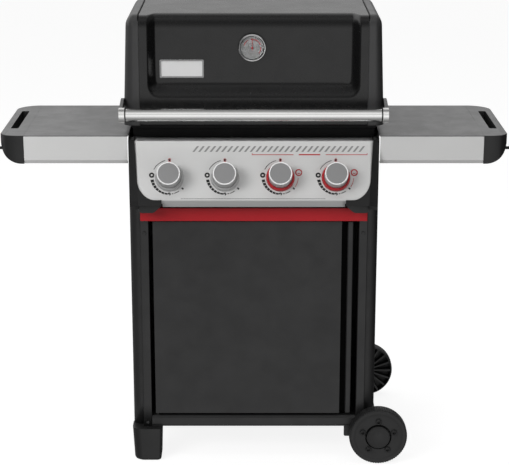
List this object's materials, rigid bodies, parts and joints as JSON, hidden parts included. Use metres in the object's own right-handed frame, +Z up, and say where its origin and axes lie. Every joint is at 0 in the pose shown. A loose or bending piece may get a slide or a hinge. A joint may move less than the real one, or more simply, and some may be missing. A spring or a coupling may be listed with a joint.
{
  "type": "gas barbecue grill",
  "caption": "Cabinet-cart gas barbecue grill with hinged lid, leaning panel of push-and-turn knobs, side tables, hinged door, sliding grease tray and wheels on one side.",
  "frame": {"origin": "on the ground under the middle of the grill's bounding box", "axes": "+X to the cook's right, +Y away from the cook, +Z up"},
  "size_m": [1.368, 0.631, 1.24],
  "materials": {
    "black_paint": "satin black powder coat",
    "red_paint": "satin red powder coat",
    "black_plastic": "moulded, fine grain",
    "plated_steel": "plated",
    "cast_black": "satin black on cast aluminium",
    "lid_enamel": "porcelain enamel, satin",
    "cast_iron": "enamelled",
    "tray_steel": "aluminised",
    "foil": "thin sheet",
    "brass": "machined",
    "panel_silver": "fine silver paint",
    "table_grey": "textured grey paint",
    "knob_metal": "silver moulded",
    "red_plastic": "moulded",
    "bright_steel": "polished",
    "dial_white": "printed",
    "needle_red": "painted",
    "clear_glass": "clear"
  },
  "bodies": {
    "cart": {"cart_side_left": "black_paint", "cart_side_right": "black_paint", "cart_rear_panel": "black_paint", "cart_bottom_shelf": "black_paint", "cart_front_rail": "black_paint", "axle_brackets": "black_paint", "front_crossbar": "red_paint", "cart_feet": "black_plastic", "panel_frame_left": "black_plastic", "panel_frame_right": "black_plastic", "table_end_left": "black_plastic", "table_end_right": "black_plastic", "igniter_module": "black_plastic", "tool_hooks": "black_plastic", "wheel_axle": "plated_steel", "door_hinge_pins": "plated_steel", "lid_hinge_pins": "plated_steel", "cart_screws": "plated_steel", "burner_tubes": "plated_steel", "heat_tents": "plated_steel", "warming_rack": "plated_steel", "gas_manifold": "plated_steel", "firebox": "cast_black", "cooking_grate_left": "cast_iron", "cooking_grate_right": "cast_iron", "gas_valves": "brass", "gas_inlet": "brass", "control_panel": "panel_silver", "table_apron_left": "panel_silver", "table_apron_right": "panel_silver", "table_top_left": "table_grey", "table_top_right": "table_grey", "knob_bezels_grey": "knob_metal", "knob_bezels_red": "red_plastic"},
    "lid": {"lid_shell": "lid_enamel", "lid_end_left": "cast_black", "lid_end_right": "cast_black", "lid_handle_tube": "bright_steel", "handle_brackets": "bright_steel", "thermometer_bezel": "bright_steel", "thermometer_dial": "dial_white", "thermometer_lens": "clear_glass", "lid_plate": "bright_steel"},
    "needle": {"thermometer_needle": "needle_red"},
    "door": {"door_panel": "black_paint", "door_grip": "black_paint"},
    "tray": {"grease_tray": "tray_steel", "catch_pan": "foil"},
    "wheel_front_set": {"wheel_front": "black_plastic", "hub_cap_front": "black_plastic"},
    "wheel_rear_set": {"wheel_rear": "black_plastic", "hub_cap_rear": "black_plastic"},
    "stem_1": {"valve_stem_1": "plated_steel"},
    "turn_1": {"knob_1": "knob_metal"},
    "stem_2": {"valve_stem_2": "plated_steel"},
    "turn_2": {"knob_2": "knob_metal"},
    "stem_3": {"valve_stem_3": "plated_steel"},
    "turn_3": {"knob_3": "knob_metal"},
    "stem_4": {"valve_stem_4": "plated_steel"},
    "turn_4": {"knob_4": "knob_metal"}
  },
  "joints": [
    {"name": "lid_hinge", "type": "hinge", "parent": "cart", "child": "lid", "pos_m": [0, 0.228, 0.962], "axis": [-1, 0, 0], "range_deg": [0, 95]},
    {"name": "needle_turn", "type": "hinge", "parent": "lid", "child": "needle", "pos_m": [-0.004, -0.19, 1.1525], "axis": [0, -1, 0], "range_deg": [-130, 130]},
    {"name": "door_hinge", "type": "hinge", "parent": "cart", "child": "door", "pos_m": [-0.266, -0.186, 0.41], "axis": [0, 0, -1], "range_deg": [0, 110]},
    {"name": "tray_slide", "type": "slide", "parent": "cart", "child": "tray", "axis": [0, 1, 0], "range_m": [0, 0.33]},
    {"name": "wheel_front_spin", "type": "hinge", "parent": "cart", "child": "wheel_front_set", "pos_m": [0.343, -0.22, 0.08], "axis": [0, 1, 0], "continuous": true},
    {"name": "wheel_rear_spin", "type": "hinge", "parent": "cart", "child": "wheel_rear_set", "pos_m": [0.343, 0.288, 0.08], "axis": [0, 1, 0], "continuous": true},
    {"name": "knob_1_push", "type": "slide", "parent": "cart", "child": "stem_1", "axis": [0, 0.8894, -0.4571], "range_m": [0, 0.004], "stiffness_N_per_m": 1500, "springref_m": -0.002},
    {"name": "knob_1_turn", "type": "hinge", "parent": "stem_1", "child": "turn_1", "pos_m": [-0.2205, -0.26125, 0.82295], "axis": [0, -0.8894, 0.4571], "range_deg": [0, 225]},
    {"name": "knob_2_push", "type": "slide", "parent": "cart", "child": "stem_2", "axis": [0, 0.8894, -0.4571], "range_m": [0, 0.004], "stiffness_N_per_m": 1500, "springref_m": -0.002},
    {"name": "knob_2_turn", "type": "hinge", "parent": "stem_2", "child": "turn_2", "pos_m": [-0.0755, -0.26125, 0.82295], "axis": [0, -0.8894, 0.4571], "range_deg": [0, 225]},
    {"name": "knob_3_push", "type": "slide", "parent": "cart", "child": "stem_3", "axis": [0, 0.8894, -0.4571], "range_m": [0, 0.004], "stiffness_N_per_m": 1500, "springref_m": -0.002},
    {"name": "knob_3_turn", "type": "hinge", "parent": "stem_3", "child": "turn_3", "pos_m": [0.0695, -0.26125, 0.82295], "axis": [0, -0.8894, 0.4571], "range_deg": [0, 270]},
    {"name": "knob_4_push", "type": "slide", "parent": "cart", "child": "stem_4", "axis": [0, 0.8894, -0.4571], "range_m": [0, 0.004], "stiffness_N_per_m": 1500, "springref_m": -0.002},
    {"name": "knob_4_turn", "type": "hinge", "parent": "stem_4", "child": "turn_4", "pos_m": [0.2145, -0.26125, 0.82295], "axis": [0, -0.8894, 0.4571], "range_deg": [0, 270]}
  ]
}
